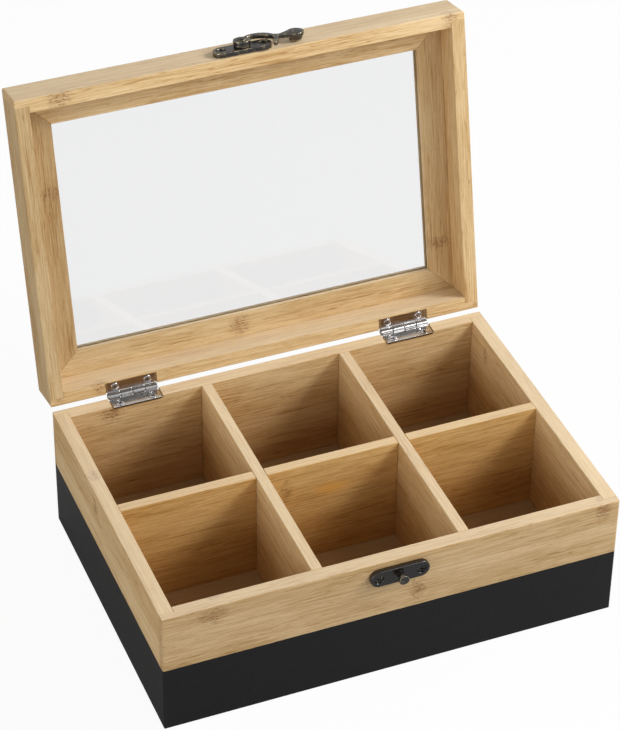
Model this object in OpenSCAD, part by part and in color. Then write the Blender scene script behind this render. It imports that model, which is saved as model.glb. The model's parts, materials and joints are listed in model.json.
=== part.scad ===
// Tea bag organizer box of bamboo, with six compartments and a glazed lid that stands open.
// Millimetres. The box stands on z = 0, centred on x and y, with its front towards -y.
// Lid pieces are drawn on the closed box and swung open about the hinge pins.

/* [Box] */
// Width of the box from left to right
box_w = 240; // [210:1:270]
// Depth of the box from front to rear
box_d = 167.5; // [150:0.5:190]
// Height of the box without its lid
box_h = 71.5; // [62:0.5:90]
// Thickness of the four boards of the box
wall_t = 7.5; // [6.5:0.5:9]
// Height of the black painted band
band_h = 38.4; // [20:0.1:50]
// Thickness of the tongue at each end of the front and rear boards
tongue_t = 4; // [3:0.5:5]
// Rounding of the four upright corners
corner_r = 1.2; // [0.8:0.1:3]
// Rounding of the outer top and bottom edges
edge_r = 0.6; // [0.4:0.1:1.5]

/* [Floor and dividers] */
// Thickness of the floor panel
floor_t = 10; // [8:0.5:12]
// How far the floor panel reaches into the rebate of each board
floor_bite = 3.5; // [2:0.5:4]
// Thickness of the dividers
divider_t = 5.6; // [4:0.1:8]
// How far the dividers reach into the grooves of the boards
divider_bite = 3; // [1.5:0.5:4]
// How far the grooves stop below the rim
groove_stop = 4; // [2:0.5:10]
// Gap left around a glued wood joint
glue_gap = 0.1; // [0.05:0.05:0.2]

/* [Lid] */
// Height of the lid
lid_h = 21.4; // [19:0.1:28]
// Thickness of the four rails of the lid
rail_t = 7.5; // [6.5:0.5:9]
// Gap between the closed lid and the box
seam = 0.3; // [0.3:0.1:0.6]
// Angle that the open lid has swung from closed
open_angle = 102.2; // [92:0.1:110]
// Width of the window frame bars inside the rails
frame_w = 13.9; // [10:0.1:20]
// Thickness of the window frame bars
frame_t = 6.4; // [5.5:0.1:8]
// Thickness of the glass
glass_t = 2; // [1.5:0.1:2.5]
// How far the glass lies behind the lower face of the window frame
glass_inset = 2.2; // [1.5:0.1:2.5]
// How far the glass reaches into the groove of the window frame
glass_bite = 4; // [2.5:0.5:6]

/* [Hinges] */
// Distance of each hinge's middle from the end of the box
hinge_in = 43.8; // [35:0.1:55]
// Length of a hinge
hinge_len = 26; // [22:0.5:32]
// Thickness of a hinge leaf
leaf_t = 1; // [0.8:0.1:1.4]
// How far a leaf lies below the wood around it
leaf_sink = 0.3; // [0.2:0.1:0.5]
// How far the box leaf reaches in from the rear face
box_leaf_reach = 8.1; // [8:0.1:9.5]
// How far the lid leaf reaches in from the rear face
lid_leaf_reach = 6.2; // [5.8:0.1:6.5]
// Outer radius of the knuckles
knuckle_r = 1.9; // [1.7:0.1:2.4]
// Radius of a hinge pin
pin_r = 0.9; // [0.7:0.05:1.1]
// Radius of the peened end of a hinge pin
pin_end_r = 1.4; // [1.2:0.1:1.6]
// Thickness of the peened end of a hinge pin
pin_end_t = 0.4; // [0.3:0.1:0.6]
// How far the pin's axis lies behind the rear face
pin_back = 1.2; // [1:0.1:1.5]
// Gap between neighbouring knuckles
knuckle_gap = 0.7; // [0.3:0.1:1]
// Gap between the knuckles and the wood or the other leaf
knuckle_clear = 0.3; // [0.25:0.05:0.4]
// Gap at each end of a leaf in its recess
leaf_end_gap = 0.9; // [0.5:0.1:1.2]
// Distance between the two screws of a leaf
leaf_screw_gap = 17.8; // [14:0.1:18.5]
// Distance of the box leaf's screws from the rear face
box_screw_in = 5.7; // [4.8:0.1:5.8]
// Distance of the lid leaf's screws from the rear face
lid_screw_in = 3.4; // [3.4:0.1:4]

/* [Hinge screws] */
// Radius of a hinge screw's head
leaf_screw_head_r = 2; // [1.6:0.1:2.1]
// Height of the head's rim above the leaf
leaf_screw_proud = 0.1; // [0.05:0.05:0.15]
// Height of the dome of a hinge screw's head
leaf_screw_dome_t = 0.25; // [0.15:0.05:0.3]
// Radius of a hinge screw's shank
leaf_screw_r = 1; // [0.8:0.1:1.2]
// Length of a hinge screw below its head
leaf_screw_len = 9; // [6:0.5:12]

/* [Latch plates] */
// Distance of the latch to the right of the middle
latch_x = 1.1; // [-5:0.1:5]
// Length of both latch plates
plate_len = 31; // [28:0.5:34]
// Height of both latch plates
plate_w = 9.4; // [8.5:0.1:10.5]
// Thickness of both latch plates
plate_t = 2.8; // [2.5:0.1:3.5]
// Chamfer around the front of both latch plates
plate_bevel = 0.3; // [0.2:0.1:0.8]
// Distance between the two screws of a latch plate
plate_screw_gap = 22.4; // [20:0.1:23]
// Distance of the catch plate's middle below the rim of the box
catch_drop = 8; // [7.2:0.1:9]
// Distance of the hook plate's middle above the lower edge of the lid
hook_rise = 6.1; // [5.8:0.1:8]
// Radius of a latch screw's head
plate_screw_head_r = 2.3; // [2:0.1:2.6]
// Depth of the recess that a latch screw's head sits in
plate_screw_sink = 1.3; // [1:0.1:1.5]
// Radius of a latch screw's shank
plate_screw_r = 1.1; // [0.8:0.1:1.3]
// Length of a latch screw below its head
plate_screw_len = 6.5; // [5:0.5:7.5]

/* [Catch knob] */
// Radius of the knob's neck
neck_r = 1.5; // [1.1:0.1:1.7]
// Radius of the knob's head
knob_r = 2.7; // [2.4:0.1:3.6]
// Thickness of the rim of the knob's head
knob_rim_t = 1.8; // [0.8:0.1:2.2]
// Height of the dome of the knob's head
knob_dome_t = 0.4; // [0.3:0.1:1]

/* [Hook] */
// Thickness of the hook
hook_t = 2.2; // [1.6:0.1:2.4]
// Gap between the hook and the pieces that it slides over
hook_play = 0.3; // [0.3:0.05:0.5]
// Gap between the hook and the head of the knob
knob_play = 0.4; // [0.3:0.05:0.6]
// Radius of the round end on the rivet
boss_r = 4.4; // [4:0.1:4.8]
// Height of the boss above the hook
boss_rise = 1; // [0.6:0.1:1.6]
// Width of the hook where it holds the knob
claw_w = 2.2; // [1.8:0.1:3.6]
// Width of the arch at its crown
arch_w = 2.7; // [2.2:0.1:3.2]
// How far the arch starts to the left of the rivet
arch_start = 1; // [0:0.1:2]
// How far the middle of the arch lies below the rivet
arch_drop = 1.6; // [1:0.1:2.2]
// Angle at which the claw's tip ends below the line from the rivet
claw_angle = 30; // [16:1:40]
// Radius of the claw's tip
claw_tip_r = 0.9; // [0.7:0.1:1.1]
// Length of the waist between the claw and the finger tab
waist_len = 5.7; // [4.6:0.1:7]
// Width of the waist at its narrowest
waist_w = 1.6; // [1.3:0.1:2.2]
// Radius of the finger tab
tab_r = 4.5; // [4:0.1:5.2]
// Height of the finger tab's underside above the wood
tab_rise = 0.9; // [0.6:0.1:1.5]
// Height of the finger tab's dome above the hook
tab_dome_t = 0.6; // [0.4:0.1:1.5]

/* [Rivet] */
// Radius of the rivet's shank
rivet_r = 1.5; // [1.2:0.1:1.8]
// Radius of the rivet's cap
rivet_cap_r = 2.6; // [2.3:0.1:3]
// Height of the rivet's cap
rivet_cap_t = 1; // [0.6:0.1:1.4]
// Gap around a shank that something turns on
turn_gap = 0.06; // [0.04:0.01:0.09]

/* [Hidden] */
$fn = 48;
hinge_x = box_w / 2 - hinge_in;
bamboo = "#d2ab78";
black = "#26262a";
nickel = "#c9ccd0";
bronze = "#4a453d";
far = 400;
slop = 1;
in_w = box_w - 2 * wall_t;
in_d = box_d - 2 * wall_t;
cross_x = (in_w - 2 * divider_t) / 6 + divider_t / 2;
lap_z = (floor_t + box_h) / 2;
lid_z = box_h + seam;
pin_y = box_d / 2 + pin_back;
pin_z = box_h + seam / 2;
knuckle_len = (hinge_len - 3 * knuckle_gap) / 4;
frame_z = lid_z + lid_h - frame_t;
opening_w = box_w - 2 * rail_t - 2 * frame_w;
opening_d = box_d - 2 * rail_t - 2 * frame_w;
glass_z = frame_z + glass_inset;
catch_z = box_h - catch_drop;
hook_z = lid_z + hook_rise;
reach = hook_z - catch_z;
hook_low = plate_t + hook_play;
hook_top = hook_low + hook_t;
claw_in = reach + neck_r + hook_play;
claw_out = claw_in + claw_w;
arch_r = (claw_out + arch_start) / 2;
tab_u = claw_out + waist_len + tab_r;

// A rectangle with round corners, centred
module round_rect(w, d, r) {
    square([w - 2 * r, d], center = true);
    square([w, d - 2 * r], center = true);
    for (x = [-1, 1], y = [-1, 1])
        translate([x * (w / 2 - r), y * (d / 2 - r)])
            circle(r);
}

// The outside of the box or lid, with every outer edge rounded, standing on z = low
module outer_block(low, h) {
    translate([0, 0, low])
        intersection() {
            linear_extrude(h)
                round_rect(box_w, box_d, corner_r);
            translate([0, box_d / 2, h / 2])
                rotate([90, 0, 0])
                    linear_extrude(box_d)
                        round_rect(box_w, h, edge_r);
            translate([-box_w / 2, 0, h / 2])
                rotate([90, 0, 90])
                    linear_extrude(box_w)
                        round_rect(box_d, h, edge_r);
        }
}

// A box from its lowest to its highest corner
module block(a, b) {
    translate(a)
        cube(b - a);
}

// A spherical cap that stands on z = 0
module dome(r, h) {
    ball_r = (r * r + h * h) / (2 * h);
    intersection() {
        translate([0, 0, h - ball_r])
            sphere(ball_r);
        cylinder(r = r + slop, h = h + slop);
    }
}

// The front or rear board of the box or lid; side is -1 for the front and 1 for the rear
module long_board(low, h, t, side) {
    intersection() {
        outer_block(low, h);
        difference() {
            translate([-far / 2, side > 0 ? box_d / 2 - t : -far - box_d / 2 + t, low - slop])
                cube([far, far, h + 2 * slop]);
            for (x = [-1, 1])
                translate([x * (far / 2 + box_w / 2 - t), side * (box_d / 2 - tongue_t - far / 2), low])
                    cube([far, far, 2 * h + 2 * slop], center = true);
        }
    }
}

// The left or right board of the box or lid; side is -1 for the left and 1 for the right
module short_board(low, h, t, side) {
    intersection() {
        outer_block(low, h);
        translate([side > 0 ? box_w / 2 - t : -far - box_w / 2 + t, -box_d / 2 + tongue_t, low - slop])
            cube([far, box_d - 2 * tongue_t, h + 2 * slop]);
    }
}

// The rebate for the floor panel, cut from all four boards
module floor_rebate() {
    w = in_w + 2 * floor_bite;
    d = in_d + 2 * floor_bite;
    block([-w / 2, -d / 2, -slop], [w / 2, d / 2, floor_t + glue_gap]);
}

// The stopped grooves for the dividers' ends
module divider_grooves() {
    t = divider_t + 2 * glue_gap;
    top = box_h - groove_stop + glue_gap;
    for (x = [-cross_x, cross_x])
        block([x - t / 2, -in_d / 2 - divider_bite - glue_gap, floor_t],
            [x + t / 2, in_d / 2 + divider_bite + glue_gap, top]);
    block([-in_w / 2 - divider_bite - glue_gap, -t / 2, floor_t],
        [in_w / 2 + divider_bite + glue_gap, t / 2, top]);
}

// The part of a board in the painted band
module in_band() {
    intersection() {
        children();
        block([-far, -far, -slop], [far, far, band_h]);
    }
}

// The part of a board above the painted band
module above_band() {
    intersection() {
        children();
        block([-far, -far, band_h], [far, far, far]);
    }
}

// A board of the box, black in the band and bamboo above it
module painted() {
    color(bamboo)
        above_band()
            children();
    color(black)
        in_band()
            children();
}

// Swings a piece of the closed lid open
module open_lid() {
    translate([0, pin_y, pin_z])
        rotate([-open_angle, 0, 0])
            translate([0, -pin_y, -pin_z])
                children();
}

// Puts a piece drawn flat on the front of the box or lid, outwards along z
module on_front(z) {
    translate([latch_x, -box_d / 2, z])
        rotate([90, 0, 0])
            children();
}

// The recess in the box's top edge for a leaf and the knuckles; flip it for the lid
module hinge_recess(x, leaf_reach) {
    w = hinge_len + 2 * leaf_end_gap;
    deep = seam / 2 + leaf_sink + leaf_t;
    wide = knuckle_r + knuckle_clear;
    translate([x, pin_y, pin_z]) {
        block([-w / 2, -pin_back - leaf_reach, -deep], [w / 2, -wide + slop / 2, slop]);
        block([-w / 2, -wide, -wide], [w / 2, far, slop]);
    }
}

// The holes in the wood for the screws of a leaf
module leaf_screw_holes(x, inset) {
    for (side = [-1, 1])
        translate([x + side * leaf_screw_gap / 2, box_d / 2 - inset, box_h - leaf_screw_len - slop])
            cylinder(r = leaf_screw_r + turn_gap, h = leaf_screw_len + 2 * slop);
}

// Turns a piece drawn for the box's top edge over to the lid's lower edge
module to_lid() {
    translate([0, 0, pin_z])
        mirror([0, 0, 1])
            translate([0, 0, -pin_z])
                children();
}

// A leaf in the box's top edge with two of the four knuckles; first is 0 or 1, from the left
module hinge_leaf(x, leaf_reach, screw_in, first) {
    wide = knuckle_r + knuckle_clear;
    top = -seam / 2 - leaf_sink;
    step = knuckle_len + knuckle_gap;
    translate([x, pin_y, pin_z])
        difference() {
            union() {
                block([-hinge_len / 2, -pin_back - leaf_reach, top - leaf_t], [hinge_len / 2, -wide, top]);
                for (i = [first, first + 2])
                    translate([-hinge_len / 2 + i * step, 0, 0]) {
                        rotate([0, 90, 0])
                            cylinder(r = knuckle_r, h = knuckle_len);
                        block([0, -wide - slop / 2, top - leaf_t], [knuckle_len, 0, top]);
                    }
            }
            translate([-hinge_len, 0, 0])
                rotate([0, 90, 0])
                    cylinder(r = pin_r + turn_gap, h = 2 * hinge_len);
            for (side = [-1, 1])
                translate([side * leaf_screw_gap / 2, -pin_back - screw_in, top - leaf_t])
                    cylinder(r1 = leaf_screw_r + turn_gap, r2 = leaf_screw_head_r + turn_gap, h = leaf_t);
            for (side = [-1, 1])
                translate([side * leaf_screw_gap / 2, -pin_back - screw_in, top - leaf_t - slop])
                    cylinder(r = leaf_screw_r + turn_gap, h = leaf_t + slop);
        }
}

// The two countersunk screws of a leaf in the box's top edge, with low domed heads
module leaf_screws(x, inset) {
    top = box_h - leaf_sink;
    crown = leaf_screw_proud + leaf_screw_dome_t;
    slot_w = leaf_screw_head_r / 4;
    slot_len = 1.2 * leaf_screw_head_r;
    for (side = [-1, 1])
        translate([x + side * leaf_screw_gap / 2, box_d / 2 - inset, top])
            difference() {
                union() {
                    cylinder(r = leaf_screw_head_r, h = leaf_screw_proud);
                    translate([0, 0, leaf_screw_proud])
                        dome(leaf_screw_head_r, leaf_screw_dome_t);
                    translate([0, 0, -leaf_t])
                        cylinder(r1 = leaf_screw_r, r2 = leaf_screw_head_r, h = leaf_t);
                    translate([0, 0, -leaf_screw_len])
                        cylinder(r = leaf_screw_r, h = leaf_screw_len);
                }
                for (turn = [45, 135])
                    rotate([0, 0, turn])
                        translate([0, 0, crown])
                            cube([slot_len, slot_w, leaf_t], center = true);
            }
}

// A latch plate with round ends, its holes for two screws and for the piece riveted into it
module latch_plate(middle_r) {
    straight = plate_len - plate_w;
    low_t = plate_t - plate_bevel;
    difference() {
        union() {
            block([-straight / 2, -plate_w / 2, 0], [straight / 2, plate_w / 2, low_t]);
            block([-straight / 2, -plate_w / 2 + plate_bevel, 0],
                [straight / 2, plate_w / 2 - plate_bevel, plate_t]);
            for (side = [-1, 1])
                translate([0, side * (plate_w / 2 - plate_bevel), low_t])
                    rotate([45, 0, 0])
                        cube([straight, plate_bevel * sqrt(2), plate_bevel * sqrt(2)], center = true);
            for (side = [-1, 1])
                translate([side * straight / 2, 0, 0]) {
                    cylinder(r = plate_w / 2, h = low_t);
                    translate([0, 0, low_t])
                        cylinder(r1 = plate_w / 2, r2 = plate_w / 2 - plate_bevel, h = plate_bevel);
                }
        }
        translate([0, 0, -slop])
            cylinder(r = middle_r, h = plate_t + 2 * slop);
        for (side = [-1, 1])
            translate([side * plate_screw_gap / 2, 0, 0]) {
                translate([0, 0, plate_t - plate_screw_sink])
                    cylinder(r = plate_screw_head_r + turn_gap, h = plate_t);
                translate([0, 0, -slop])
                    cylinder(r = plate_screw_r + turn_gap, h = plate_t + slop);
            }
    }
}

// The two screws of a latch plate, with low domed heads
module latch_screws() {
    seat = plate_t - plate_screw_sink;
    rim_t = plate_screw_sink / 2;
    dome_t = plate_screw_sink / 4;
    slot_w = plate_screw_head_r / 4;
    for (side = [-1, 1])
        translate([side * plate_screw_gap / 2, 0, seat])
            difference() {
                union() {
                    cylinder(r = plate_screw_head_r, h = rim_t);
                    translate([0, 0, rim_t])
                        dome(plate_screw_head_r, dome_t);
                    translate([0, 0, -plate_screw_len])
                        cylinder(r = plate_screw_r, h = plate_screw_len);
                }
                for (turn = [0, 90])
                    rotate([0, 0, turn])
                        translate([0, 0, rim_t + dome_t])
                            cube([plate_screw_head_r, slot_w, plate_screw_sink], center = true);
            }
}

// The holes in the wood for the screws of a latch plate
module latch_screw_holes() {
    for (side = [-1, 1])
        translate([side * plate_screw_gap / 2, 0, plate_t - plate_screw_sink - plate_screw_len])
            cylinder(r = plate_screw_r + turn_gap, h = plate_screw_len + slop);
}

// The outline of the hook, with the rivet at the origin and the finger tab to the right
module hook_outline() {
    mid_u = claw_out - arch_r;
    claw_mid = claw_out - claw_w / 2;
    waist_u = claw_out + waist_len / 3;
    root_half = 1.5 * waist_w;
    tab_side_u = tab_u - tab_r / 2;
    tab_half = 0.8 * tab_r;
    difference() {
        translate([mid_u, -arch_drop])
            circle(arch_r);
        translate([mid_u - arch_w / 2, -arch_drop - arch_w / 2])
            circle(arch_r - arch_w / 2);
        translate([reach, 0])
            circle(neck_r + hook_play);
        intersection() {
            circle(claw_in);
            translate([0, -far])
                square([far, far]);
        }
        polygon([[-far, 0], [0, 0], [far * cos(claw_angle), -far * sin(claw_angle)], [-far, -far]]);
    }
    rotate(-claw_angle)
        translate([claw_mid, 0])
            circle(claw_tip_r);
    circle(boss_r);
    polygon([[claw_mid, root_half], [waist_u, waist_w / 2], [tab_side_u, tab_half],
        [tab_side_u, -tab_half], [waist_u, -waist_w / 2], [claw_mid, -root_half]]);
}

// A mitred bar of the window frame, drawn along x with its outer edge on y = 0
module window_bar(len) {
    linear_extrude(frame_t)
        polygon([[-len / 2, 0], [len / 2, 0], [len / 2 - frame_w, frame_w], [-len / 2 + frame_w, frame_w]]);
}

// The groove of the window frame, around the glass
module glass_groove() {
    w = opening_w + 2 * glass_bite + 2 * glue_gap;
    d = opening_d + 2 * glass_bite + 2 * glue_gap;
    block([-w / 2, -d / 2, glass_z - glue_gap], [w / 2, d / 2, glass_z + glass_t + glue_gap]);
}

module front_wall() {
    painted()
        difference() {
            long_board(0, box_h, wall_t, -1);
            floor_rebate();
            divider_grooves();
            on_front(catch_z)
                latch_screw_holes();
        }
}

module rear_wall() {
    painted()
        difference() {
            long_board(0, box_h, wall_t, 1);
            floor_rebate();
            divider_grooves();
            for (x = [-hinge_x, hinge_x]) {
                hinge_recess(x, box_leaf_reach);
                leaf_screw_holes(x, box_screw_in);
            }
        }
}

module side_wall(side) {
    painted()
        difference() {
            short_board(0, box_h, wall_t, side);
            floor_rebate();
            divider_grooves();
        }
}

module left_wall() {
    side_wall(-1);
}

module right_wall() {
    side_wall(1);
}

module floor_panel() {
    w = in_w + 2 * floor_bite - 2 * glue_gap;
    d = in_d + 2 * floor_bite - 2 * glue_gap;
    color(bamboo)
        block([-w / 2, -d / 2, 0], [w / 2, d / 2, floor_t]);
}

module long_divider() {
    t = divider_t / 2;
    lap = divider_t / 2 + glue_gap;
    color(bamboo)
        difference() {
            union() {
                block([-in_w / 2, -t, floor_t], [in_w / 2, t, box_h]);
                block([-in_w / 2 - divider_bite, -t, floor_t], [in_w / 2 + divider_bite, t, box_h - groove_stop]);
            }
            for (x = [-cross_x, cross_x])
                block([x - lap, -far, lap_z], [x + lap, far, far]);
        }
}

module cross_divider(x) {
    t = divider_t / 2;
    lap = divider_t / 2 + glue_gap;
    color(bamboo)
        difference() {
            union() {
                block([x - t, -in_d / 2, floor_t], [x + t, in_d / 2, box_h]);
                block([x - t, -in_d / 2 - divider_bite, floor_t], [x + t, in_d / 2 + divider_bite, box_h - groove_stop]);
            }
            block([-far, -lap, -slop], [far, lap, lap_z]);
        }
}

module left_cross_divider() {
    cross_divider(-cross_x);
}

module right_cross_divider() {
    cross_divider(cross_x);
}

module catch_plate() {
    color(bronze)
        on_front(catch_z)
            latch_plate(neck_r + turn_gap);
}

module catch_knob() {
    head_low = hook_top + knob_play;
    color(bronze)
        on_front(catch_z) {
            cylinder(r = neck_r, h = head_low + knob_rim_t / 2);
            translate([0, 0, head_low])
                cylinder(r = knob_r, h = knob_rim_t);
            translate([0, 0, head_low + knob_rim_t])
                dome(knob_r, knob_dome_t);
        }
}

module catch_screws() {
    color(bronze)
        on_front(catch_z)
            latch_screws();
}

module left_hinge_box_leaf() {
    color(nickel)
        hinge_leaf(-hinge_x, box_leaf_reach, box_screw_in, 1);
}

module right_hinge_box_leaf() {
    color(nickel)
        hinge_leaf(hinge_x, box_leaf_reach, box_screw_in, 1);
}

module hinge_pin(x) {
    color(nickel)
        translate([x, pin_y, pin_z])
            rotate([0, 90, 0]) {
                cylinder(r = pin_r, h = hinge_len, center = true);
                for (side = [-1, 1])
                    translate([0, 0, side * (hinge_len + pin_end_t) / 2])
                        cylinder(r = pin_end_r, h = pin_end_t, center = true);
            }
}

module left_hinge_pin() {
    hinge_pin(-hinge_x);
}

module right_hinge_pin() {
    hinge_pin(hinge_x);
}

module left_box_leaf_screws() {
    color(nickel)
        leaf_screws(-hinge_x, box_screw_in);
}

module right_box_leaf_screws() {
    color(nickel)
        leaf_screws(hinge_x, box_screw_in);
}

module lid_front_rail() {
    color(bamboo)
        open_lid()
            difference() {
                long_board(lid_z, lid_h, rail_t, -1);
                on_front(hook_z)
                    latch_screw_holes();
            }
}

module lid_rear_rail() {
    color(bamboo)
        open_lid()
            difference() {
                long_board(lid_z, lid_h, rail_t, 1);
                to_lid()
                    for (x = [-hinge_x, hinge_x]) {
                        hinge_recess(x, lid_leaf_reach);
                        leaf_screw_holes(x, lid_screw_in);
                    }
            }
}

module lid_left_rail() {
    color(bamboo)
        open_lid()
            short_board(lid_z, lid_h, rail_t, -1);
}

module lid_right_rail() {
    color(bamboo)
        open_lid()
            short_board(lid_z, lid_h, rail_t, 1);
}

// A front or rear bar of the window frame; side is -1 for the front and 1 for the rear
module long_window_bar(side) {
    color(bamboo)
        open_lid()
            difference() {
                translate([0, side * (box_d / 2 - rail_t), frame_z])
                    rotate([0, 0, side > 0 ? 180 : 0])
                        window_bar(box_w - 2 * rail_t);
                glass_groove();
            }
}

// A left or right bar of the window frame; side is -1 for the left and 1 for the right
module short_window_bar(side) {
    color(bamboo)
        open_lid()
            difference() {
                translate([side * (box_w / 2 - rail_t), 0, frame_z])
                    rotate([0, 0, side * 90])
                        window_bar(box_d - 2 * rail_t);
                glass_groove();
            }
}

module window_bar_front() {
    long_window_bar(-1);
}

module window_bar_rear() {
    long_window_bar(1);
}

module window_bar_left() {
    short_window_bar(-1);
}

module window_bar_right() {
    short_window_bar(1);
}

module glass_pane() {
    w = opening_w + 2 * glass_bite;
    d = opening_d + 2 * glass_bite;
    color("#cfe0e4", 0.4)
        open_lid()
            block([-w / 2, -d / 2, glass_z], [w / 2, d / 2, glass_z + glass_t]);
}

module left_hinge_lid_leaf() {
    color(nickel)
        open_lid()
            to_lid()
                hinge_leaf(-hinge_x, lid_leaf_reach, lid_screw_in, 0);
}

module right_hinge_lid_leaf() {
    color(nickel)
        open_lid()
            to_lid()
                hinge_leaf(hinge_x, lid_leaf_reach, lid_screw_in, 0);
}

module left_lid_leaf_screws() {
    color(nickel)
        open_lid()
            to_lid()
                leaf_screws(-hinge_x, lid_screw_in);
}

module right_lid_leaf_screws() {
    color(nickel)
        open_lid()
            to_lid()
                leaf_screws(hinge_x, lid_screw_in);
}

module hook_plate() {
    color(bronze)
        open_lid()
            on_front(hook_z)
                latch_plate(rivet_r + turn_gap);
}

module hook_plate_screws() {
    color(bronze)
        open_lid()
            on_front(hook_z)
                latch_screws();
}

module hook_rivet() {
    cap_low = hook_top + boss_rise + turn_gap;
    color(bronze)
        open_lid()
            on_front(hook_z) {
                cylinder(r = rivet_r, h = cap_low + turn_gap);
                translate([0, 0, cap_low])
                    dome(rivet_cap_r, rivet_cap_t);
            }
}

module latch_hook() {
    tab_low = hook_top - hook_t / 2;
    tab_under_r = 0.7 * tab_r;
    color(bronze)
        open_lid()
            on_front(hook_z)
                difference() {
                    union() {
                        translate([0, 0, hook_low])
                            linear_extrude(hook_t)
                                hook_outline();
                        translate([0, 0, hook_low])
                            cylinder(r = boss_r, h = hook_t + boss_rise);
                        translate([tab_u, 0, tab_low])
                            cylinder(r = tab_r, h = hook_top - tab_low);
                        translate([tab_u, 0, hook_top])
                            dome(tab_r, tab_dome_t);
                        translate([tab_u, 0, tab_rise])
                            cylinder(r1 = tab_under_r, r2 = tab_r, h = tab_low - tab_rise);
                    }
                    cylinder(r = rivet_r + turn_gap, h = hook_top + boss_rise + slop);
                }
}

front_wall();
rear_wall();
left_wall();
right_wall();
floor_panel();
long_divider();
left_cross_divider();
right_cross_divider();
catch_plate();
catch_knob();
catch_screws();
left_hinge_box_leaf();
right_hinge_box_leaf();
left_hinge_pin();
right_hinge_pin();
left_box_leaf_screws();
right_box_leaf_screws();
lid_front_rail();
lid_rear_rail();
lid_left_rail();
lid_right_rail();
window_bar_front();
window_bar_rear();
window_bar_left();
window_bar_right();
glass_pane();
left_hinge_lid_leaf();
right_hinge_lid_leaf();
left_lid_leaf_screws();
right_lid_leaf_screws();
hook_plate();
hook_plate_screws();
hook_rivet();
latch_hook();
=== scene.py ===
import json
import math

import bmesh
import bpy
from mathutils import Matrix, Quaternion, Vector

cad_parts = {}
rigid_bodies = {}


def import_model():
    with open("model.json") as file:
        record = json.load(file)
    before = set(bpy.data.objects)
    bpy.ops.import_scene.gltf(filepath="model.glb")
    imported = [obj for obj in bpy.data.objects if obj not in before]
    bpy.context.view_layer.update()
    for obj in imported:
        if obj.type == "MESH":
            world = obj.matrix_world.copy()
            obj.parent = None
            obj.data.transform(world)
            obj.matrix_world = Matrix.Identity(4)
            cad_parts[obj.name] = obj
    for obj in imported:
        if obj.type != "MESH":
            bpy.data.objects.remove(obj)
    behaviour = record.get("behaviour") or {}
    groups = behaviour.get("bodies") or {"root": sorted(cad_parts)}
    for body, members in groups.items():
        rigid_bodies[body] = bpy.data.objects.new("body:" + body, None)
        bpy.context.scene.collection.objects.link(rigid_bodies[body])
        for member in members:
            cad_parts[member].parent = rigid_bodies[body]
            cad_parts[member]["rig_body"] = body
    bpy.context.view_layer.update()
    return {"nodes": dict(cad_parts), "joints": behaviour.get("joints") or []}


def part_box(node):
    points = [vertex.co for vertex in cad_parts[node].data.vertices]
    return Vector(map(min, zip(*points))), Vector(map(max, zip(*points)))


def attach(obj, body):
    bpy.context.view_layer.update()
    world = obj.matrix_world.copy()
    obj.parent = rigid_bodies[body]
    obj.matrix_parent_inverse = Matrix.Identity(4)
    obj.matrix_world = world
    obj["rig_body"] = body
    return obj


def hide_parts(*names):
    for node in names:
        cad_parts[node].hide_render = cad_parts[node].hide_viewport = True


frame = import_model()
mm = 0.001

# Camera: it stands where the photograph was taken from, in front of the box's left corner and above it.
# The place and direction were solved from the outline and corners of the box and lid, to under a pixel.
image_w = 620
image_h = 730
focal_px = 2845.0
sensor = 36.0
clip_near = 0.01
clip_far = 50.0
view_from = Vector((-0.42813, -1.01419, 0.98345))
view_along = Vector((0.29974, 0.73079, -0.61327))
view_roll = math.radians(0.764)

camera_data = bpy.data.cameras.new("camera")
camera_data.sensor_width = sensor
camera_data.lens = focal_px * sensor / max(image_w, image_h)
camera_data.clip_start = clip_near
camera_data.clip_end = clip_far
camera = bpy.data.objects.new("camera", camera_data)
bpy.context.scene.collection.objects.link(camera)
camera.rotation_mode = "QUATERNION"
camera.location = view_from
camera.rotation_quaternion = view_along.to_track_quat("-Z", "Y") @ Quaternion((0, 0, 1), view_roll)
bpy.context.scene.camera = camera

# Studio: a white floor that keeps a faint shadow of the box, and a pale surround with a darker ceiling.
# The main lamp stands high on the right, a weaker one in front of it, and a third lights the left side.
bpy.context.scene.view_settings.view_transform = "Standard"
floor_half = 8.0
floor_white = 0.9
floor_bounce = 0.4
shadow_share = 0.06
surround = 0.56
ceiling = 0.22
ceiling_from = 0.7
ceiling_full = 0.9
key_power = 14.0
front_power = 5.0
fill_power = 7.5
lamp_target = Vector((0, 0, 0.1))
white = (1, 1, 1, 1)


def add_node(tree, kind, inputs=None, **settings):
    """Adds a node; each input is a value, or the output of another node that is joined to it."""
    node = tree.nodes.new(kind)
    for name, value in settings.items():
        setattr(node, name, value)
    for key, value in (inputs or {}).items():
        if isinstance(value, bpy.types.NodeSocket):
            tree.links.new(value, node.inputs[key])
        else:
            node.inputs[key].default_value = value
    return node


def calc(tree, operation, *values):
    """The result of a Math node."""
    return add_node(tree, "ShaderNodeMath", dict(enumerate(values)), operation=operation).outputs[0]


def seen_directly(tree):
    """1 where the camera sees a surface straight or through glass, and 0 for all other light."""
    path = add_node(tree, "ShaderNodeLightPath").outputs
    return calc(tree, "MAXIMUM", path["Is Camera Ray"], path["Is Transmission Ray"])


def new_material(name):
    """A material with an empty node tree and its output."""
    material = bpy.data.materials.new(name)
    material.use_nodes = True
    tree = material.node_tree
    tree.nodes.clear()
    return material, tree, add_node(tree, "ShaderNodeOutputMaterial")


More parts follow.
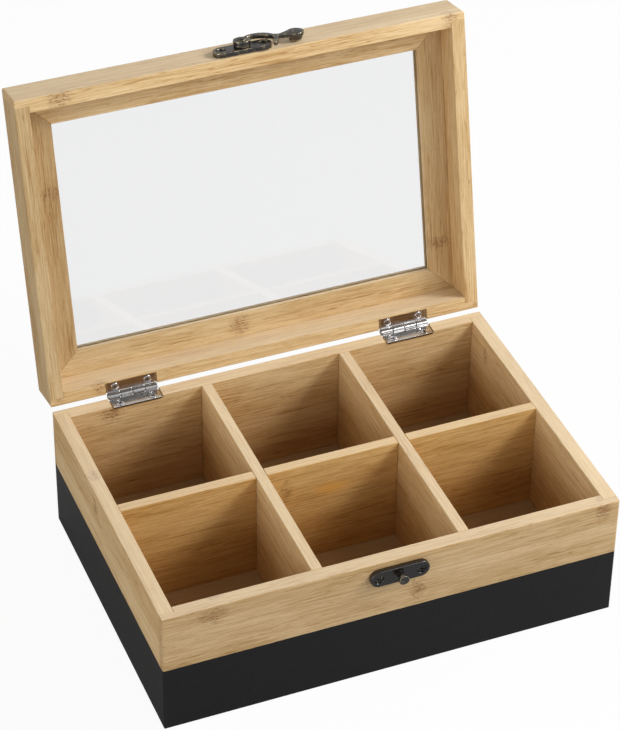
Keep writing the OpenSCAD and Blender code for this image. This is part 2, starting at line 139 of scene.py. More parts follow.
floor_mesh = bpy.data.meshes.new("studio_floor")
corners = [(x * floor_half, y * floor_half, 0) for x, y in ((-1, -1), (1, -1), (1, 1), (-1, 1))]
floor_mesh.from_pydata(corners, [], [(0, 1, 2, 3)])
studio_floor = bpy.data.objects.new("studio_floor", floor_mesh)
bpy.context.scene.collection.objects.link(studio_floor)
floor_paint, tree, out = new_material("floor_white")
level = add_node(tree, "ShaderNodeMapRange", {"Value": seen_directly(tree), 3: floor_bounce, 4: floor_white})
matt = add_node(tree, "ShaderNodeBsdfDiffuse", {"Color": level.outputs[0]})
glow = add_node(tree, "ShaderNodeEmission", {"Color": white, "Strength": 1.0})
share = calc(tree, "MULTIPLY", seen_directly(tree), 1 - shadow_share)
blend = add_node(tree, "ShaderNodeMixShader", {0: share, 1: matt.outputs[0], 2: glow.outputs[0]})
tree.links.new(blend.outputs[0], out.inputs["Surface"])
floor_mesh.materials.append(floor_paint)

world = bpy.data.worlds.new("studio")
bpy.context.scene.world = world
world.use_nodes = True
tree = world.node_tree
tree.nodes.clear()
out = add_node(tree, "ShaderNodeOutputWorld")
aim = add_node(tree, "ShaderNodeTexCoord").outputs["Generated"]
height = add_node(tree, "ShaderNodeSeparateXYZ", {0: aim}).outputs["Z"]
dimming = {"Value": height, 1: ceiling_from, 2: ceiling_full, 3: 1.0, 4: ceiling}
shade = add_node(tree, "ShaderNodeMapRange", dimming)
lit = calc(tree, "MULTIPLY", shade.outputs[0], surround)
strength = calc(tree, "MAXIMUM", lit, seen_directly(tree))
sky = add_node(tree, "ShaderNodeBackground", {"Color": white, "Strength": strength})
tree.links.new(sky.outputs[0], out.inputs["Surface"])


def soft_lamp(name, place, size, power):
    """A square lamp that faces the middle of the object."""
    data = bpy.data.lights.new(name, "AREA")
    data.size = size
    data.energy = power
    lamp = bpy.data.objects.new(name, data)
    lamp.location = place
    lamp.rotation_euler = (lamp_target - lamp.location).to_track_quat("-Z", "Y").to_euler()
    bpy.context.scene.collection.objects.link(lamp)


soft_lamp("key_lamp", Vector((1.05, -0.38, 1.0)), 0.45, key_power)
soft_lamp("front_lamp", Vector((0.9, -1.2, 1.08)), 0.6, front_power)
soft_lamp("fill_lamp", Vector((-1.7, -0.4, 0.45)), 0.8, fill_power)

# Box boards: four laminated bamboo boards, planed and lacquered clear. The long ones have a tongue at
# each end, which is glued into the short ones. The lower part of the outside is sprayed satin black,
# up to a masked line.
lid_turn = frame["joints"][0]
pin_place = Vector(lid_turn["pos_m"])
open_angle = math.radians(lid_turn["range_deg"][1])
close_lid = Matrix.Rotation(open_angle, 3, "X")
box_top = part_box("front_wall")[1].z
half_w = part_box("front_wall")[1].x
half_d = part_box("rear_wall")[1].y
floor_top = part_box("floor_panel")[1].z
band_top = 38.4 * mm
band_depth = 3.0 * mm
mask_wander = 0.4 * mm
strip_w = 20.5 * mm
bamboo_pale = (0.84, 0.63, 0.355)
bamboo_deep = (0.60, 0.38, 0.16)
bamboo_vein = (0.72, 0.60, 0.44)
painted_top_sheen = (0.93, 0.79, 0.59)
bamboo_amber = (0.80, 0.42, 0.09)
painted_shade_inside = (0.66, 0.55, 0.42)
knot_brown = (0.25, 0.10, 0.03)
paint_black = (0.0022, 0.0022, 0.0026)
top_sheen_share = 0.4
amber_share = 0.85
vein_bands = 4.0
grain_depth = 0.12 * mm
paint_depth = 0.1 * mm

# How many times each pattern changes in a metre, along the grain and across it.
fibre_rate = (48, 1500, 1500)
figure_rate = (24, 520, 520)
cloud_rate = (12, 75, 75)
speck_rate = (260, 2600, 2600)
knot_dot_rate = (420, 1150, 1150)
knot_patch_rate = (260, 320, 320)
mask_rate = (300, 300, 300)
dust_rate = (2500, 2500, 2500)
bundle_rate = 1500.0
seed_steps = (3.17, 1.93, 2.71)


def mixed(tree, share, first, second, blend_type="MIX"):
    """The colour that a Mix node gives."""
    node = add_node(tree, "ShaderNodeMix", data_type="RGBA", blend_type=blend_type)
    for socket, value in ((0, share), (6, first), (7, second)):
        if isinstance(value, bpy.types.NodeSocket):
            tree.links.new(value, node.inputs[socket])
        else:
            node.inputs[socket].default_value = value if socket == 0 else (*value, 1)
    return node.outputs[2]


def noise(tree, vector, rate, offset, detail=4.0, roughness=0.6, distortion=0.0):
    """A noise texture that changes at its own rate along each axis."""
    spread = add_node(tree, "ShaderNodeMapping", {"Vector": vector, "Scale": rate, "Location": offset})
    sockets = {"Vector": spread.outputs[0], "Scale": 1.0, "Detail": detail, "Roughness": roughness}
    sockets["Distortion"] = distortion
    return add_node(tree, "ShaderNodeTexNoise", sockets).outputs["Fac"]


def ramp(tree, value, low, high, to_low=0.0, to_high=1.0):
    """A value mapped smoothly from one range to another."""
    node = add_node(tree, "ShaderNodeMapRange", {"Value": value, 1: low, 2: high, 3: to_low, 4: to_high})
    node.interpolation_type = "SMOOTHSTEP"
    return node.outputs[0]


def swing(tree, value, width):
    """A value from 0 to 1 turned into one that swings across the given width, with 0 in its middle."""
    return calc(tree, "MULTIPLY", calc(tree, "SUBTRACT", value, 0.5), width)


def parts(tree, vector):
    """The X, Y and Z of a vector."""
    return add_node(tree, "ShaderNodeSeparateXYZ", {0: vector}).outputs


def distance_from(tree, point, centre, reach):
    """How far a point is from a centre, where 1 is the reach along each axis, both in millimetres."""
    sockets = {0: point, 1: Vector(centre) * mm}
    away = add_node(tree, "ShaderNodeVectorMath", sockets, operation="SUBTRACT").outputs[0]
    sockets = {0: away, 1: Vector(reach) * mm}
    scaled = add_node(tree, "ShaderNodeVectorMath", sockets, operation="DIVIDE").outputs[0]
    return add_node(tree, "ShaderNodeVectorMath", {0: scaled}, operation="LENGTH").outputs["Value"]


def knotted(tree, grain, fibres, shift, colour, knots):
    """The colour with its knots, which are ragged patches of brown dots and streaks."""
    spread = add_node(tree, "ShaderNodeMapping", {"Vector": grain, "Scale": knot_dot_rate, "Location": shift})
    cells = add_node(tree, "ShaderNodeTexVoronoi", {"Vector": spread.outputs[0], "Scale": 1.0})
    dots = ramp(tree, cells.outputs["Distance"], 0.15, 0.5, 1.0, 0.0)
    streaks = ramp(tree, fibres, 0.42, 0.62, 0.14, 0.5)
    marks = calc(tree, "ADD", calc(tree, "MULTIPLY", dots, 0.6), streaks)
    patchy = noise(tree, grain, knot_patch_rate, shift, 3.0, 0.7, 1.0)
    for centre, reach in knots:
        ragged = calc(tree, "ADD", distance_from(tree, grain, centre, reach), swing(tree, patchy, 1.7))
        inside = ramp(tree, ragged, 0.3, 1.15, 1.0, 0.0)
        colour = mixed(tree, calc(tree, "MULTIPLY", inside, marks), colour, knot_brown)
    return colour


def sprayed_black(tree, point, fibres, shift):
    """Satin black paint with a little dust in it, under which the grain still shows."""
    dust = noise(tree, point, dust_rate, shift, 2.0, 0.5)
    black = mixed(tree, ramp(tree, dust, 0.35, 0.7), paint_black, tuple(c * 1.6 for c in paint_black))
    film = calc(tree, "ADD", calc(tree, "MULTIPLY", fibres, 0.5), calc(tree, "MULTIPLY", dust, 0.2))
    rise = add_node(tree, "ShaderNodeBump", {"Height": film, "Strength": 0.15, "Distance": paint_depth})
    sockets = {"Base Color": black, "Roughness": ramp(tree, dust, 0.3, 0.7, 0.27, 0.35)}
    sockets |= {"Normal": rise.outputs[0], "Specular IOR Level": 0.45}
    return add_node(tree, "ShaderNodeBsdfPrincipled", sockets).outputs[0]


def bamboo(
    name, along, seed, joint=0.0, tone=1.0, tint=(1, 1, 1), knots=(), stain=None, on_lid=False, painted=False
):
    """Laminated bamboo that runs along a board: glued strips, fibres, veins, specks, knots and end grain,
    with a painted sheen on faces that point up and painted shade low inside the box.
    """
    material, tree, out = new_material(name)
    place = add_node(tree, "ShaderNodeTexCoord").outputs
    point = place["Object"]
    if on_lid:
        back = pin_place - close_lid @ pin_place
        turned = {"Vector": point, "Location": back, "Rotation": (open_angle, 0, 0)}
        point = add_node(tree, "ShaderNodeMapping", turned).outputs[0]
    x, y, z = parts(tree, point)
    facing_x, _, facing_z = parts(tree, place["Normal"])
    run, cross = (x, y) if along == "X" else (y, x)
    grain = add_node(tree, "ShaderNodeCombineXYZ", {0: run, 1: cross, 2: z}).outputs[0]
    shift = tuple(seed * step for step in seed_steps)

    fibres = noise(tree, grain, fibre_rate, shift, 4.0, 0.68, 0.3)
    figure = noise(tree, grain, figure_rate, shift, 2.0, 0.5, 0.6)
    clouds = noise(tree, grain, cloud_rate, shift, 2.0, 0.5)
    specks = noise(tree, grain, speck_rate, shift, 2.0, 0.6)
    strip = calc(tree, "DIVIDE", calc(tree, "SUBTRACT", z, joint), strip_w)
    strip_seed = calc(tree, "ADD", calc(tree, "FLOOR", strip), seed * 7.3)
    chance = add_node(tree, "ShaderNodeTexWhiteNoise", {"W": strip_seed}, noise_dimensions="1D")
    strip_tone = chance.outputs["Value"]
    glue_line = ramp(tree, calc(tree, "PINGPONG", strip, 0.5), 0.004, 0.014, 1.0, 0.0)

    wave = calc(tree, "ADD", fibres, calc(tree, "MULTIPLY", clouds, 0.45))
    wave = calc(tree, "ADD", wave, calc(tree, "MULTIPLY", strip_tone, 0.06))
    pale = tuple(c * tone * t for c, t in zip(bamboo_pale, tint))
    deep = tuple(c * tone * t for c, t in zip(bamboo_deep, tint))
    colour = mixed(tree, ramp(tree, wave, 0.52, 1.0), pale, deep)
    band = calc(tree, "FRACT", calc(tree, "MULTIPLY", figure, vein_bands))
    off_vein = calc(tree, "ABSOLUTE", calc(tree, "SUBTRACT", band, 0.5))
    strength = ramp(tree, clouds, 0.35, 0.65, 0.2, 1.0)
    veins = calc(tree, "MULTIPLY", ramp(tree, off_vein, 0.0, 0.16, 1.0, 0.0), strength)
    colour = mixed(tree, veins, colour, bamboo_vein, "MULTIPLY")
    colour = mixed(tree, ramp(tree, specks, 0.56, 0.76, 0.0, 0.7), colour, bamboo_vein, "MULTIPLY")
    colour = mixed(tree, calc(tree, "MULTIPLY", glue_line, 0.4), colour, knot_brown)

    if stain:
        soft = calc(tree, "ADD", distance_from(tree, grain, *stain), swing(tree, clouds, 1.2))
        colour = mixed(tree, ramp(tree, soft, 0.1, 1.0, amber_share, 0.0), colour, bamboo_amber)
    if knots:
        colour = knotted(tree, grain, fibres, shift, colour, knots)
    # Faces that point up are made paler: a painted sheen of the light from above.
    painted_sheen_up = ramp(tree, facing_z, 0.85, 0.95)
    colour = mixed(tree, calc(tree, "MULTIPLY", painted_sheen_up, top_sheen_share), colour, painted_top_sheen)

    # Inside the box the colour is darkened from the rim down to the floor: painted shade in the compartments.
    if not on_lid:
        painted_shade_depth = ramp(tree, z, box_top, floor_top)
        in_x = calc(tree, "LESS_THAN", calc(tree, "ABSOLUTE", x), half_w - band_depth)
        in_y = calc(tree, "LESS_THAN", calc(tree, "ABSOLUTE", y), half_d - band_depth)
        within = calc(tree, "MULTIPLY", in_x, in_y)
        colour = mixed(tree, calc(tree, "MULTIPLY", within, painted_shade_depth), colour, painted_shade_inside, "MULTIPLY")
    if along == "X":
        end_face = ramp(tree, calc(tree, "ABSOLUTE", facing_x), 0.75, 0.9)
        cells = add_node(tree, "ShaderNodeTexVoronoi", {"Vector": grain, "Scale": bundle_rate})
        bundles = ramp(tree, cells.outputs["Distance"], 0.15, 0.4, 0.5, 0.15)
        colour = mixed(tree, calc(tree, "MULTIPLY", end_face, bundles), colour, knot_brown)

    gloss = ramp(tree, fibres, 0.3, 0.7, 0.44, 0.58)
    relief = calc(tree, "SUBTRACT", fibres, calc(tree, "MULTIPLY", veins, 0.4))
    relief = calc(tree, "SUBTRACT", relief, glue_line)
    rise = add_node(tree, "ShaderNodeBump", {"Height": relief, "Strength": 0.3, "Distance": grain_depth})
    sockets = {"Base Color": colour, "Roughness": gloss, "Normal": rise.outputs[0], "Specular IOR Level": 0.3}
    surface = add_node(tree, "ShaderNodeBsdfPrincipled", sockets).outputs[0]
    if painted:
        wander = swing(tree, noise(tree, point, mask_rate, shift, 3.0, 0.6), mask_wander)
        below = calc(tree, "LESS_THAN", calc(tree, "ADD", z, wander), band_top)
        mask = calc(tree, "MULTIPLY", calc(tree, "SUBTRACT", 1.0, within), below)
        paint = sprayed_black(tree, point, fibres, shift)
        surface = add_node(tree, "ShaderNodeMixShader", {0: mask, 1: surface, 2: paint}).outputs[0]
    tree.links.new(surface, out.inputs["Surface"])
    return material


board_edge = 0.3 * mm
shortest_edge = 2.5 * mm
edge_steps = 2
weld_within = 0.002 * mm
flat_within = math.radians(0.5)
crease = math.radians(35)


def merged(node):
    """A copy of a node's mesh in which the faces share their corners."""
    shape = bmesh.new()
    shape.from_mesh(frame["nodes"][node].data)
    bmesh.ops.remove_doubles(shape, verts=shape.verts, dist=weld_within)
    return shape


def stand_in(name, mesh, material, node):
    """An object that takes the place of a node and moves with its body."""
    piece = bpy.data.objects.new(name, mesh)
    bpy.context.scene.collection.objects.link(piece)
    mesh.materials.clear()
    mesh.materials.append(material)
    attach(piece, frame["nodes"][node]["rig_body"])
    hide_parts(node)
    return piece


def eased(node, edge, material, least=0.0):
    """A node's mesh, merged, with its sharp edges over a least length broken by a small rounding."""
    shape = merged(node)
    bmesh.ops.dissolve_limit(shape, angle_limit=flat_within, verts=shape.verts, edges=shape.edges)
    weights = shape.edges.layers.float.new("bevel_weight_edge")
    for line in shape.edges:
        sharp = line.is_manifold and line.calc_face_angle() > crease
        line[weights] = 1.0 if sharp and line.calc_length() > least else 0.0
        line.smooth = not sharp
    for face in shape.faces:
        face.smooth = True
    mesh = bpy.data.meshes.new(node + "_mesh")
    shape.to_mesh(mesh)
    shape.free()
    piece = stand_in(node + "_piece", mesh, material, node)
    bevel = piece.modifiers.new("rounding", "BEVEL")
    bevel.width = edge
    bevel.segments = edge_steps
    bevel.limit_method = "WEIGHT"
    bevel.use_clamp_overlap = False
    bevel.harden_normals = True


# Each board: which way its grain runs, its seed, the height of a glue line in millimetres, and its tint.
walls = {
    "front_wall": ("X", 1, 58.3, (0.95, 0.935, 0.94)),
    "rear_wall": ("X", 2, 61.0, (1, 1, 1)),
    "left_wall": ("Y", 3, 55.0, (1.0, 0.99, 0.98)),
    "right_wall": ("Y", 4, 49.0, (1, 1, 1)),
}
# Each knot's centre and its reach in millimetres: along the grain, across it and up.
wall_knots = {
    "front_wall": [
        ((-94, -83.7, 66), (9, 3, 5.5)),
        ((-91, -77, 71.5), (5, 3, 1.5)),
        ((111, -83.7, 67), (5, 3, 6)),
        ((111, -78, 71.5), (3, 4, 1.5)),
        ((11.5, -83.7, 49), (5, 2, 9)),
    ],
    "rear_wall": [((-90, 76.2, 67), (7, 2, 6))],
    "left_wall": [((28, -116.6, 71.5), (6, 4, 3)), ((15, -120, 62), (4, 2, 7))],
    "right_wall": [((59, 112.5, 62), (3, 2, 7))],
}
for wall, (along, seed, joint, tint) in walls.items():
    look = {"tint": tint, "knots": wall_knots[wall], "painted": True}
    finish = bamboo(f"{wall}_bamboo", along, seed, joint * mm, **look)
    eased(wall, board_edge, finish, shortest_edge)

# Floor panel: one panel of bamboo flush with the boards' underside, darker than them as painted shade at the
# compartment bottoms.
# It is let into a rebate that runs around the foot of the four boards.
floor_shade_tone = 0.7
floor_bamboo = bamboo("floor_bamboo", "X", 5, tone=floor_shade_tone)
eased("floor_panel", board_edge, floor_bamboo, shortest_edge)

# Dividers: three thin bamboo slats, half lapped where they cross and housed in grooves in the boards.
# Each is glued up from two strips, so a fine joint runs along the sides a little below the top.
divider_joint = 66.3 * mm
long_knots = [((-25, -2.8, 58), (4, 2, 8))]
amber_cloud = ((-1, -2.8, 53), (16, 4, 6))
long_tint = (1, 0.90, 0.68)
long_look = {"tint": long_tint, "knots": long_knots, "stain": amber_cloud}
long_bamboo = bamboo("long_divider_bamboo", "X", 6, divider_joint, **long_look)
eased("long_divider", board_edge, long_bamboo, shortest_edge)
for seed, side in ((7, "left"), (8, "right")):
    cross_bamboo = bamboo(f"{side}_divider_bamboo", "Y", seed, divider_joint)
    eased(f"{side}_cross_divider", board_edge, cross_bamboo, shortest_edge)

# Lid rails: four bamboo boards around the lid, joined at the corners like the boards of the box.
# Their grain is laid out on the closed lid, so their glue lines lie level when it is shut.
lid_joint = 100.0 * mm
rail_seed = 10
rail_knots = {
    "front": [((-97, -80.9, 71.8), (7, 6, 8)), ((112, -80.5, 71.8), (6, 6, 8))],
    "rear": [((-93, 77, 71.8), (5, 6, 5)), ((-115, 77.5, 71.8), (3, 6, 4)), ((118, 78, 71.8), (2, 6, 4))],
    "left": [],
    "right": [],
}
rail_tones = {"front": 1.12, "rear": 0.97, "left": 0.88, "right": 1.02}
for number, (rail, knots) in enumerate(rail_knots.items()):
    along = "X" if number < 2 else "Y"
    look = {"tone": rail_tones[rail], "knots": knots, "on_lid": True}
    finish = bamboo(f"lid_{rail}_bamboo", along, rail_seed + number, lid_joint, **look)
    eased(f"lid_{rail}_rail", board_edge, finish, shortest_edge)

# Window frame: four bamboo bars, mitred at the corners, glued inside the rails and grooved for the glass.
# Each bar has its own tone, as no two pieces of bamboo are quite alike.
bar_seed = 20
bar_knots = {
    "front": [],
    "rear": [((-10, 69.5, 86.8), (7, 7, 4))],
    "left": [((-26, -103, 86.8), (4, 7, 3))],
    "right": [((48, 105, 86.8), (4, 8, 3))],
}
bar_tones = {"front": 1.12, "rear": 0.88, "left": 0.80, "right": 0.98}
for number, (bar, knots) in enumerate(bar_knots.items()):
    along = "X" if number < 2 else "Y"
    look = {"tone": bar_tones[bar], "knots": knots, "on_lid": True}
    finish = bamboo(f"window_{bar}_bamboo", along, bar_seed + number, lid_joint, **look)
    eased(f"window_bar_{bar}", board_edge, finish, shortest_edge)

# Glass: one sheet of clear float glass, held on its four sides in the groove of the window frame.
# It is flat and square, so the CAD's own mesh stays, with a clear and slightly smeared material on it.
glass_tint = (0.885, 0.888, 0.893, 1)
smear_rate = (14, 14, 14)
glass, tree, out = new_material("float_glass")
smear = noise(tree, add_node(tree, "ShaderNodeTexCoord").outputs["Object"], smear_rate, (0, 0, 0), 3.0, 0.5)
clear = {"Base Color": glass_tint, "Roughness": ramp(tree, smear, 0.4, 0.7, 0.0, 0.02)}
clear |= {"Transmission Weight": 1.0, "IOR": 1.5}
tree.links.new(add_node(tree, "ShaderNodeBsdfPrincipled", clear).outputs[0], out.inputs["Surface"])
frame["nodes"]["glass_pane"].data.materials.clear()
frame["nodes"]["glass_pane"].data.materials.append(glass)

# Hinges: two butt hinges of nickel-plated steel, each two leaves with rolled knuckles round a pin.
# The leaves are let into the rear wall and into the lid's rear rail.
nickel_grey = (0.68, 0.67, 0.67)
tarnish = 0.8
rub_rate = (90, 1800, 1800)
tarnish_rate = (220, 220, 220)
metal_edge = 0.1 * mm


def nickel(name, seed):
    """Bright nickel plate, with fine rubbing marks and a little tarnish."""
    material, tree, out = new_material(name)
    place = add_node(tree, "ShaderNodeTexCoord").outputs["Object"]
    shift = (seed * 1.7, seed * 2.3, seed)
    rubbed = noise(tree, place, rub_rate, shift, 3.0, 0.6)
    dull = noise(tree, place, tarnish_rate, shift, 3.0, 0.6)
    dark = tuple(tarnish * c for c in nickel_grey)
    colour = mixed(tree, ramp(tree, dull, 0.35, 0.75), nickel_grey, dark)
    gloss = ramp(tree, rubbed, 0.3, 0.7, 0.1, 0.24)
    rise = add_node(tree, "ShaderNodeBump", {"Height": rubbed, "Strength": 0.1, "Distance": 0.00005})
    sockets = {"Base Color": colour, "Metallic": 1.0, "Roughness": gloss, "Normal": rise.outputs[0]}
    tree.links.new(add_node(tree, "ShaderNodeBsdfPrincipled", sockets).outputs[0], out.inputs["Surface"])
    return material


plated = nickel("nickel_plate", 1)
for side in ("left", "right"):
    for part in ("box_leaf", "lid_leaf", "pin"):
        eased(f"{side}_hinge_{part}", metal_edge, plated)

# Hinge screws: two countersunk cross-headed screws in each leaf, nickel plated, each turned its own way.
# One Geometry Nodes group draws them, and also the screws of the latch further on.
leaf_head_r = 2.0 * mm
leaf_rim = 0.1 * mm
leaf_dome = 0.25 * mm
leaf_neck = 1.0 * mm
leaf_shank = 1.0 * mm
leaf_screw_len = 9.0 * mm
slot_share = 0.27
slot_reach = 1.25
slot_drop = 2.8
screw_sides = 32
screw_crease = math.radians(40)


def screw_group():
    """A node group that draws a row of two cross-headed screws along X, their heads facing +Z."""
    tree = bpy.data.node_groups.new("cross_headed_screws", "GeometryNodeTree")
    for name in ("Head radius", "Rim", "Dome", "Neck", "Shank radius", "Length", "Spacing"):
        tree.interface.new_socket(name, in_out="INPUT", socket_type="NodeSocketFloat")
    tree.interface.new_socket("Seed", in_out="INPUT", socket_type="NodeSocketInt")
    tree.interface.new_socket("Metal", in_out="INPUT", socket_type="NodeSocketMaterial")
    tree.interface.new_socket("Geometry", in_out="OUTPUT", socket_type="NodeSocketGeometry")
    given = add_node(tree, "NodeGroupInput").outputs
    head_r, rim, dome, neck, shank_r, length, spacing = (given[i] for i in range(7))

    def at(x=0.0, y=0.0, z=0.0):
        return add_node(tree, "ShaderNodeCombineXYZ", {0: x, 1: y, 2: z}).outputs[0]

    def moved(mesh, place, stretch=(1, 1, 1)):
        sockets = {"Geometry": mesh, "Translation": place, "Scale": stretch}
        return add_node(tree, "GeometryNodeTransform", sockets).outputs[0]

    ball = {0: screw_sides, 1: screw_sides // 2, 2: head_r}
    ball = add_node(tree, "GeometryNodeMeshUVSphere", ball).outputs[0]
    ball = moved(ball, at(z=rim), at(1, 1, calc(tree, "DIVIDE", dome, head_r)))
    slot_w = calc(tree, "MULTIPLY", head_r, slot_share)
    slot_len = calc(tree, "MULTIPLY", head_r, slot_reach)
    crown = calc(tree, "ADD", rim, dome)
    slot_deep = calc(tree, "MULTIPLY", dome, slot_drop)
    head = ball
    for size in (at(slot_len, slot_w, slot_deep), at(slot_w, slot_len, slot_deep)):
        cut = moved(add_node(tree, "GeometryNodeMeshCube", {0: size}).outputs[0], at(z=crown))
        head = add_node(tree, "GeometryNodeMeshBoolean", {0: head, 1: cut}, operation="DIFFERENCE").outputs[0]
    tube = {"Vertices": screw_sides, "Radius": head_r, "Depth": rim}
    tube = add_node(tree, "GeometryNodeMeshCylinder", tube, fill_type="NONE").outputs[0]
    cone = {"Vertices": screw_sides, "Radius Top": head_r, "Radius Bottom": shank_r, "Depth": neck}
    cone = add_node(tree, "GeometryNodeMeshCone", cone, fill_type="NONE").outputs[0]
    shank = {"Vertices": screw_sides, "Radius": shank_r, "Depth": length}
    shank = add_node(tree, "GeometryNodeMeshCylinder", shank).outputs[0]
    screw = add_node(tree, "GeometryNodeJoinGeometry")
    for part in (
        head,
        moved(tube, at(z=calc(tree, "MULTIPLY", rim, 0.5))),
        moved(cone, at(z=calc(tree, "MULTIPLY", neck, -1.0))),
        moved(shank, at(z=calc(tree, "MULTIPLY", length, -0.5))),
    ):
        tree.links.new(part, screw.inputs[0])
    start = at(x=calc(tree, "MULTIPLY", spacing, -0.5))
    row = {"Count": 2, "Start Location": start, "Offset": at(x=spacing)}
    row = add_node(tree, "GeometryNodeMeshLine", row)
    turn = {2: 0.0, 3: math.pi, 8: given["Seed"]}
    turn = add_node(tree, "FunctionNodeRandomValue", turn, data_type="FLOAT")
    placed = {"Points": row.outputs[0], "Instance": screw.outputs[0], "Rotation": at(z=turn.outputs[1])}
    placed = add_node(tree, "GeometryNodeInstanceOnPoints", placed).outputs[0]
    solid = add_node(tree, "GeometryNodeRealizeInstances", {0: placed}).outputs[0]
    smooth = add_node(tree, "GeometryNodeSetShadeSmooth", {"Geometry": solid}, domain="FACE").outputs[0]
    bend = add_node(tree, "GeometryNodeInputMeshEdgeAngle").outputs["Unsigned Angle"]
    sharp = calc(tree, "GREATER_THAN", bend, screw_crease)
    edges = {"Geometry": smooth, "Selection": sharp, "Shade Smooth": False}
    edges = add_node(tree, "GeometryNodeSetShadeSmooth", edges, domain="EDGE").outputs[0]
    coated = add_node(tree, "GeometryNodeSetMaterial", {"Geometry": edges, "Material": given["Metal"]})
    add_node(tree, "NodeGroupOutput", {0: coated.outputs[0]})
    return tree


def screws(node, values, place, seed, metal):
    """Two screws drawn by the group, put in place by a matrix, instead of a CAD node's screws."""
    draft = bpy.data.objects.new("draft", bpy.data.meshes.new("draft"))
    bpy.context.scene.collection.objects.link(draft)
    maker = draft.modifiers.new("screws", "NODES")
    maker.node_group = screw_maker
    keys = {item.name: item.identifier for item in screw_maker.interface.items_tree if item.in_out == "INPUT"}
    for name, value in {**values, "Seed": seed, "Metal": metal}.items():
        maker[keys[name]] = value
    draft.update_tag()
    depsgraph = bpy.context.evaluated_depsgraph_get()
    mesh = bpy.data.meshes.new_from_object(draft.evaluated_get(depsgraph))
    mesh.transform(place)
    bpy.data.objects.remove(draft)
    stand_in(node + "_pair", mesh, metal, node)


def swung(matrix):
    """A matrix for the closed lid, carried on to the open lid."""
    to_pin, from_pin = Matrix.Translation(pin_place), Matrix.Translation(-pin_place)
    return to_pin @ Matrix.Rotation(-open_angle, 4, "X") @ from_pin @ matrix


def closed_box(node):
    """The lowest and highest corner of a lid node's mesh when the lid is closed."""
    points = [close_lid @ (v.co - pin_place) + pin_place for v in frame["nodes"][node].data.vertices]
    return tuple(Vector(pick(p[i] for p in points) for i in range(3)) for pick in (min, max))


screw_maker = screw_group()
leaf_screw = {"Head radius": leaf_head_r, "Rim": leaf_rim, "Dome": leaf_dome, "Neck": leaf_neck}
leaf_screw |= {"Shank radius": leaf_shank, "Length": leaf_screw_len}
for seed, side in ((3, "left"), (5, "right")):
    low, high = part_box(f"{side}_box_leaf_screws")
    middle = Vector(((low.x + high.x) / 2, (low.y + high.y) / 2, high.z - leaf_rim - leaf_dome))
    leaf_screw["Spacing"] = high.x - low.x - 2 * leaf_head_r
    screws(f"{side}_box_leaf_screws", leaf_screw, Matrix.Translation(middle), seed, plated)
    low, high = closed_box(f"{side}_lid_leaf_screws")
    middle = Vector(((low.x + high.x) / 2, (low.y + high.y) / 2, low.z + leaf_rim + leaf_dome))
    facing_down = swung(Matrix.Translation(middle) @ Matrix.Rotation(math.pi, 4, "X"))
    screws(f"{side}_lid_leaf_screws", leaf_screw, facing_down, seed + 1, plated)

# Latch: a hook on the lid and a knob on the box, each riveted to a cast plate that is screwed to the wood.
# All are brass, blackened and rubbed back to the metal on their edges, the plate of the knob the least.
brass_dark = (0.085, 0.082, 0.082)
brass_bright = (0.66, 0.54, 0.32)
patch_rate = (420, 420, 420)
grit_rate = (3200, 3200, 3200)
patch_share = 0.18
worn_from = 0.64
worn_full = 0.72
paler_by_wear = 5


def blackened(name, seed, wear):
    """Brass blackened all over, rubbed back to the metal on its edges and high spots."""
    material, tree, out = new_material(name)
    place = add_node(tree, "ShaderNodeTexCoord").outputs["Object"]
    shift = (seed * 1.3, seed * 2.1, seed)
    patches = noise(tree, place, patch_rate, shift, 4.0, 0.65)
    grit = noise(tree, place, grit_rate, shift, 2.0, 0.6)
    edges = add_node(tree, "ShaderNodeNewGeometry").outputs["Pointiness"]
    exposed = calc(tree, "ADD", edges, calc(tree, "MULTIPLY", patches, patch_share))
    worn = ramp(tree, exposed, worn_from - wear, worn_full - wear)
    dark = tuple(c * (1 + paler_by_wear * wear) for c in brass_dark)
    colour = mixed(tree, worn, dark, brass_bright)
    gloss = ramp(tree, grit, 0.3, 0.7, 0.2, 0.36)
    rise = add_node(tree, "ShaderNodeBump", {"Height": grit, "Strength": 0.15, "Distance": 0.0001})
    sockets = {"Base Color": colour, "Metallic": 1.0, "Roughness": gloss, "Normal": rise.outputs[0]}
    tree.links.new(add_node(tree, "ShaderNodeBsdfPrincipled", sockets).outputs[0], out.inputs["Surface"])
    return material


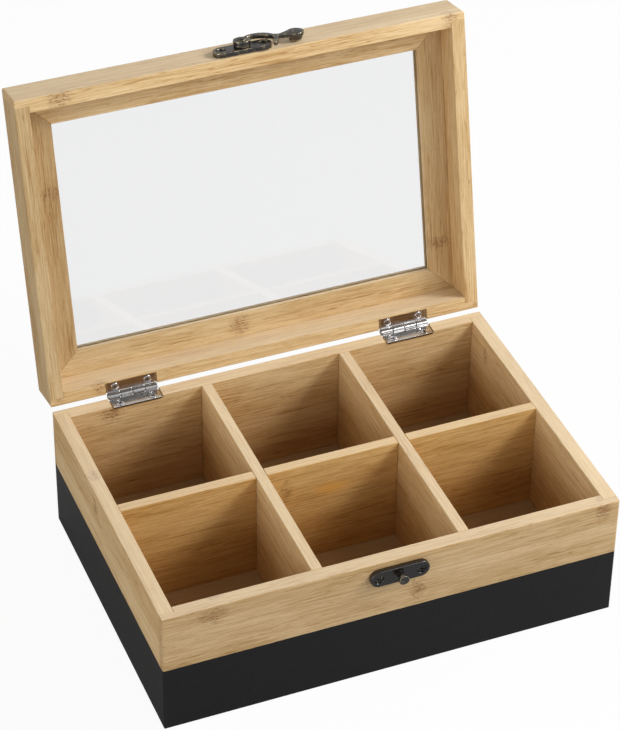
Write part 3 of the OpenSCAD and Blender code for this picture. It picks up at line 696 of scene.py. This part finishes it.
def cast(node, cell, rounds, metal):
    """A node's mesh with all its edges softened like a casting's, by a fine remesh that is smoothed."""
    shape = merged(node)
    mesh = bpy.data.meshes.new("draft")
    shape.to_mesh(mesh)
    shape.free()
    draft = bpy.data.objects.new("draft", mesh)
    bpy.context.scene.collection.objects.link(draft)
    remesh = draft.modifiers.new("cells", "REMESH")
    remesh.mode = "VOXEL"
    remesh.voxel_size = cell
    remesh.use_smooth_shade = True
    relax = draft.modifiers.new("relax", "SMOOTH")
    relax.factor = 0.5
    relax.iterations = rounds
    depsgraph = bpy.context.evaluated_depsgraph_get()
    softened = bpy.data.meshes.new_from_object(draft.evaluated_get(depsgraph))
    bpy.data.objects.remove(draft)
    stand_in(node + "_cast", softened, metal, node)


brass = blackened("blackened_brass", 1, 0.02)
worn_brass = blackened("worn_brass", 2, 0.055)
cast_cell = 0.2 * mm
cast_rounds = 6
for part in ("catch_plate", "catch_knob", "hook_plate", "hook_rivet", "latch_hook"):
    cast(part, cast_cell, cast_rounds, brass if part == "catch_plate" else worn_brass)

# Latch screws: two in each plate, of blackened brass, with low domed heads that sit in round recesses.
# The node group of the hinge screws draws them too.
plate_head_r = 2.3 * mm
plate_rim = 0.65 * mm
plate_dome = 0.325 * mm
plate_neck = 0.01 * mm
plate_shank = 1.1 * mm
plate_screw_len = 6.5 * mm
plate_screw = {"Head radius": plate_head_r, "Rim": plate_rim, "Dome": plate_dome, "Neck": plate_neck}
plate_screw |= {"Shank radius": plate_shank, "Length": plate_screw_len}
outwards = Matrix.Rotation(math.pi / 2, 4, "X")
for seed, node, (low, high) in (
    (7, "catch_screws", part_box("catch_screws")),
    (9, "hook_plate_screws", closed_box("hook_plate_screws")),
):
    middle = Vector(((low.x + high.x) / 2, low.y + plate_rim + plate_dome, (low.z + high.z) / 2))
    plate_screw["Spacing"] = high.x - low.x - 2 * plate_head_r
    place = Matrix.Translation(middle) @ outwards
    screws(node, plate_screw, swung(place) if "hook" in node else place, seed, brass)
